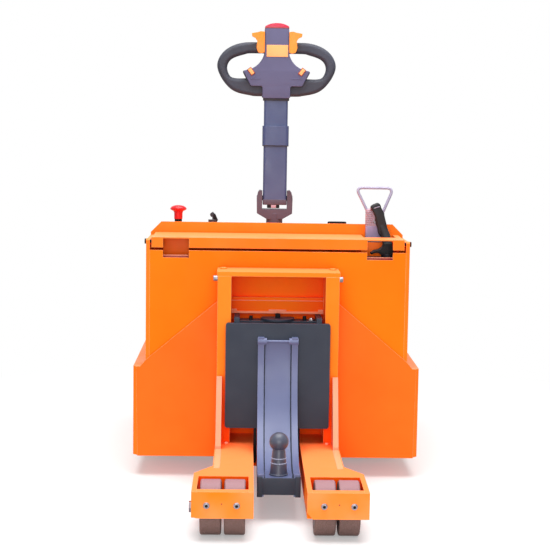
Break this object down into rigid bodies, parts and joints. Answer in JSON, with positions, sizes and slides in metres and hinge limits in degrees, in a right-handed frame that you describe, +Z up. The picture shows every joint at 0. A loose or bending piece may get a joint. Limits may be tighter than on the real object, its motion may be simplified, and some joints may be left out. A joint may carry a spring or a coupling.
{
  "type": "pedestrian electric tow tug",
  "caption": "Walk-behind electric tow tug with low load-wheel legs, a lifting tow-ball mast, a hinged battery lid and a steered drive unit turned by a tiller.",
  "frame": {"origin": "on the floor, under the middle of the whole machine's box", "axes": "+Z up, +Y from the tow ball towards the operator's tiller, +X to the right as seen from the tow ball's side looking at the body"},
  "size_m": [0.784, 1.4, 1.277],
  "materials": {
    "orange_paint": "gloss",
    "slate_paint": "satin",
    "blue_grey_paint": "satin",
    "black_paint": "satin",
    "zinc_steel": "satin",
    "chrome_rod": "polished",
    "cast_hub": "matt",
    "brown_tyre": "matt",
    "dark_plastic": "matt",
    "amber_plastic": "gloss",
    "crimson_plastic": "gloss",
    "red_plastic": "gloss",
    "connector_plastic": "matt",
    "battery_case": "matt",
    "cable_rubber": "matt"
  },
  "bodies": {
    "chassis": {"leg_right": "orange_paint", "leg_left": "orange_paint", "wheel_guards": "orange_paint", "load_axles": "zinc_steel", "base_crossmember": "orange_paint", "mast_posts": "orange_paint", "mast_gussets": "orange_paint", "mast_beam": "orange_paint", "mast_crossmember": "orange_paint", "lift_barrel": "black_paint", "front_panel": "orange_paint", "side_panels": "orange_paint", "battery_tub": "orange_paint", "battery": "battery_case", "wing_plates": "orange_paint", "fenders": "orange_paint", "hood": "orange_paint", "rear_cover": "orange_paint", "chassis_cheeks": "black_paint", "drive_bridge": "black_paint", "emergency_stop": "red_plastic", "key_switch": "zinc_steel", "charge_gauge": "dark_plastic", "power_plug": "connector_plastic", "plug_handle": "zinc_steel", "battery_cable": "cable_rubber", "cable_gland": "dark_plastic"},
    "load_wheels_right": {"load_tyres_right": "brown_tyre", "load_hubs_right": "cast_hub"},
    "load_wheels_left": {"load_tyres_left": "brown_tyre", "load_hubs_left": "cast_hub"},
    "carriage": {"carriage_plate": "slate_paint", "carriage_cheeks": "slate_paint", "guide_rollers": "zinc_steel", "lift_crosshead": "slate_paint", "lift_rod": "chrome_rod", "hitch_arm": "blue_grey_paint", "tow_ball": "blue_grey_paint"},
    "lid": {"battery_lid": "orange_paint", "lid_pins": "black_paint"},
    "steer_unit": {"drive_fork": "cast_hub", "drive_motor": "black_paint", "steer_column": "blue_grey_paint"},
    "drive_wheel": {"drive_hub": "cast_hub", "drive_tyre": "brown_tyre"},
    "tiller": {"tiller_arm": "blue_grey_paint", "tiller_sleeve": "blue_grey_paint", "tiller_head": "dark_plastic", "tiller_grips": "dark_plastic", "tiller_throttles": "amber_plastic", "tiller_button": "crimson_plastic"}
  },
  "joints": [
    {"name": "lid_hinge", "type": "hinge", "parent": "chassis", "child": "lid", "pos_m": [0, -0.08, 0.647], "axis": [1, 0, 0], "range_deg": [0, 95]},
    {"name": "mast_lift", "type": "slide", "parent": "chassis", "child": "carriage", "axis": [0, 0, 1], "range_m": [0, 0.095]},
    {"name": "steering", "type": "hinge", "parent": "chassis", "child": "steer_unit", "pos_m": [0, 0.51, 0.35], "axis": [0, 0, 1], "range_deg": [-90, 90]},
    {"name": "drive_spin", "type": "hinge", "parent": "steer_unit", "child": "drive_wheel", "pos_m": [0, 0.51, 0.115], "axis": [1, 0, 0], "continuous": true},
    {"name": "tiller_tilt", "type": "hinge", "parent": "steer_unit", "child": "tiller", "pos_m": [0, 0.51, 0.737], "axis": [-1, 0, 0], "range_deg": [0, 80], "stiffness_Nm_per_rad": 15, "springref_deg": -22.92},
    {"name": "load_spin_left", "type": "hinge", "parent": "chassis", "child": "load_wheels_left", "pos_m": [-0.1345, -0.625, 0.065], "axis": [1, 0, 0], "continuous": true},
    {"name": "load_spin_right", "type": "hinge", "parent": "chassis", "child": "load_wheels_right", "pos_m": [0.1345, -0.625, 0.065], "axis": [1, 0, 0], "continuous": true}
  ]
}
